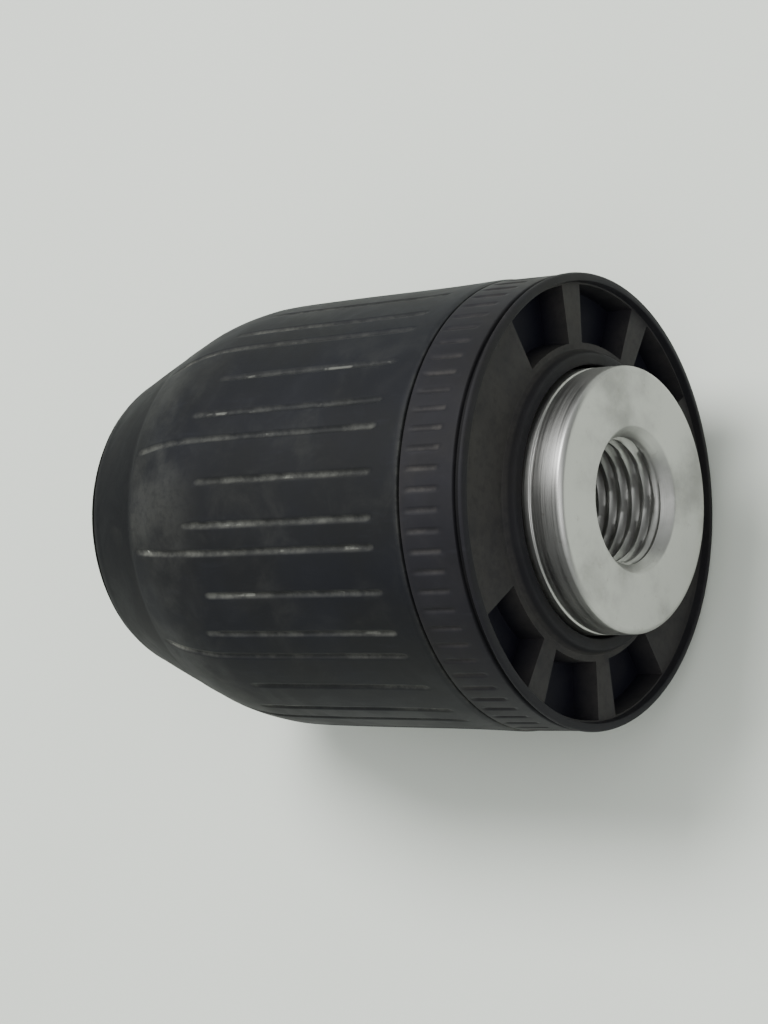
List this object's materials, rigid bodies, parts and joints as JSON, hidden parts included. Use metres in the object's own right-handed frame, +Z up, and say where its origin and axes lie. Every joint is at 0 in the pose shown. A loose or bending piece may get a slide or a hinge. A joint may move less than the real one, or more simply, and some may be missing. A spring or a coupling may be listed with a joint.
{
  "type": "keyless drill chuck",
  "caption": "Keyless drill chuck with a fluted black grip sleeve, knurled rear ring, steel body and angled jaws that close on a round tool shank.",
  "frame": {"origin": "centre of the steel hub's rear face, on the chuck axis, where the drive spindle leaves", "axes": "+X along the chuck axis, rearwards out of the spindle socket, so the nose and jaws are at -X; +Z up"},
  "size_m": [0.0563, 0.043, 0.043],
  "materials": {
    "body_steel": "turned, satin",
    "jaw_steel": "hardened, ground",
    "nut_steel": "turned, oiled",
    "jacket_steel": "drawn, oiled",
    "race_steel": "ground",
    "cage_plastic": "moulded",
    "ball_steel": "polished",
    "nose_black": "satin",
    "sleeve_black": "moulded, worn and dusty",
    "ring_black": "moulded, fine knurl"
  },
  "bodies": {
    "body": {"chuck_body": "body_steel", "nose_ring": "nose_black", "rear_ring": "ring_black", "thrust_race": "race_steel"},
    "sleeve": {"grip_sleeve": "sleeve_black", "nut_jacket": "jacket_steel", "nut_half_1": "nut_steel", "nut_half_2": "nut_steel"},
    "ball_train": {"ball_cage": "cage_plastic", "ball_01": "ball_steel", "ball_02": "ball_steel", "ball_03": "ball_steel", "ball_04": "ball_steel", "ball_05": "ball_steel", "ball_06": "ball_steel", "ball_07": "ball_steel", "ball_08": "ball_steel", "ball_09": "ball_steel", "ball_10": "ball_steel", "ball_11": "ball_steel", "ball_12": "ball_steel"},
    "jaw_a": {"jaw_1": "jaw_steel"},
    "jaw_b": {"jaw_2": "jaw_steel"},
    "jaw_c": {"jaw_3": "jaw_steel"}
  },
  "joints": [
    {"name": "sleeve_turn", "type": "hinge", "parent": "body", "child": "sleeve", "pos_m": [-0.03, 0, 0], "axis": [1, 0, 0], "range_deg": [-558, 3312]},
    {"name": "ball_train_turn", "type": "hinge", "parent": "body", "child": "ball_train", "pos_m": [-0.0359, 0, 0], "axis": [1, 0, 0], "range_deg": [-280, 1657]},
    {"name": "jaw_a_slide", "type": "slide", "parent": "body", "child": "jaw_a", "axis": [-0.9636, 0, -0.2672], "range_m": [-0.00311, 0.01841]},
    {"name": "jaw_b_slide", "type": "slide", "parent": "body", "child": "jaw_b", "axis": [-0.9636, 0.2314, 0.1336], "range_m": [-0.00311, 0.01841]},
    {"name": "jaw_c_slide", "type": "slide", "parent": "body", "child": "jaw_c", "axis": [-0.9636, -0.2314, 0.1336], "range_m": [-0.00311, 0.01841]}
  ],
  "couplings": [
    {"joint": "ball_train_turn", "follows": "sleeve_turn", "ratio": 0.5},
    {"joint": "jaw_a_slide", "follows": "sleeve_turn", "m_per_rad": 0.00031831},
    {"joint": "jaw_b_slide", "follows": "sleeve_turn", "m_per_rad": 0.00031831},
    {"joint": "jaw_c_slide", "follows": "sleeve_turn", "m_per_rad": 0.00031831}
  ]
}
